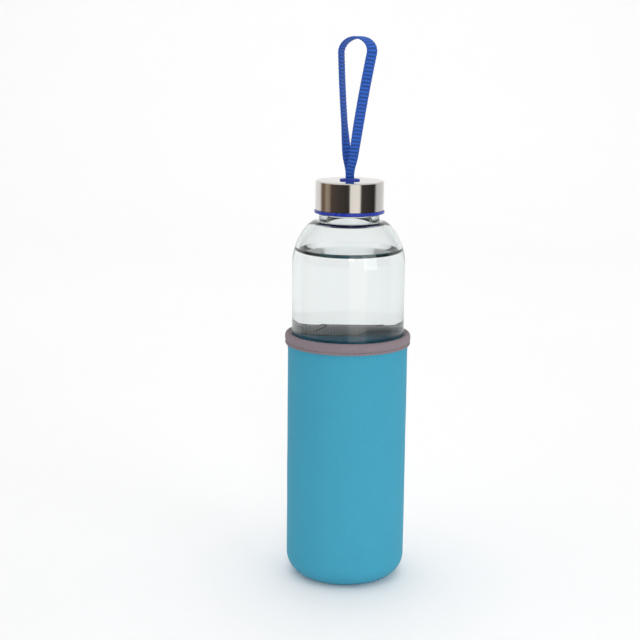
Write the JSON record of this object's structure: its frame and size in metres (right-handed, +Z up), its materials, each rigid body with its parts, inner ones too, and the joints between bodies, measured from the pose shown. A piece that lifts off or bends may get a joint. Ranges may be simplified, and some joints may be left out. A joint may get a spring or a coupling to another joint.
{
  "type": "glass water bottle",
  "caption": "Clear glass water bottle with a domed shoulder, a steel screw cap with a webbing carrying strap, and a sewn neoprene sleeve.",
  "frame": {"origin": "middle of the sleeve's flat underside, which stands on the table", "axes": "+Z up along the bottle's axis; the strap's slot in the cap runs along X; -Y is the side that the strap's broad ribbed face shows to, and the sleeve's side seam is on the +Y side"},
  "size_m": [0.0738, 0.0738, 0.3148],
  "materials": {
    "neoprene": "knitted jersey over foam rubber",
    "binding_tape": "ribbed woven tape",
    "grey_thread": "twisted sewing thread",
    "turquoise_thread": "twisted sewing thread",
    "clear_glass": "clear, polished",
    "white_silicone": "satin",
    "blue_plastic": "moulded, slight gloss",
    "steel": "fine brushed",
    "bar_steel": "drawn wire",
    "webbing": "cross-ribbed woven webbing"
  },
  "bodies": {
    "sleeve": {"sleeve_wall": "neoprene", "sleeve_base": "neoprene", "sleeve_binding": "binding_tape", "binding_stitching": "grey_thread", "base_stitching": "turquoise_thread", "side_seam_stitching": "turquoise_thread"},
    "bottle": {"bottle_glass": "clear_glass"},
    "cap_lift": {"cap_seal": "white_silicone"},
    "cap": {"cap_liner": "blue_plastic", "cap_shell": "steel", "slot_grommet": "blue_plastic", "strap_bar": "bar_steel", "strap_tail": "webbing"},
    "strap": {"strap_loop": "webbing"}
  },
  "joints": [
    {"name": "bottle_slide", "type": "slide", "parent": "sleeve", "child": "bottle", "axis": [0, 0, 1], "range_m": [0, 0.146]},
    {"name": "cap_rise", "type": "slide", "parent": "bottle", "child": "cap_lift", "axis": [0, 0, 1], "range_m": [0, 0.016]},
    {"name": "cap_turn", "type": "hinge", "parent": "cap_lift", "child": "cap", "pos_m": [0, 0, 0.2157], "axis": [0, 0, 1], "range_deg": [0, 722]},
    {"name": "strap_sway", "type": "hinge", "parent": "cap", "child": "strap", "pos_m": [0, 0, 0.2364], "axis": [1, 0, 0], "range_deg": [-65, 65], "stiffness_Nm_per_rad": 0.004}
  ],
  "couplings": [
    {"joint": "cap_turn", "follows": "cap_rise", "rad_per_m": 785.4}
  ]
}
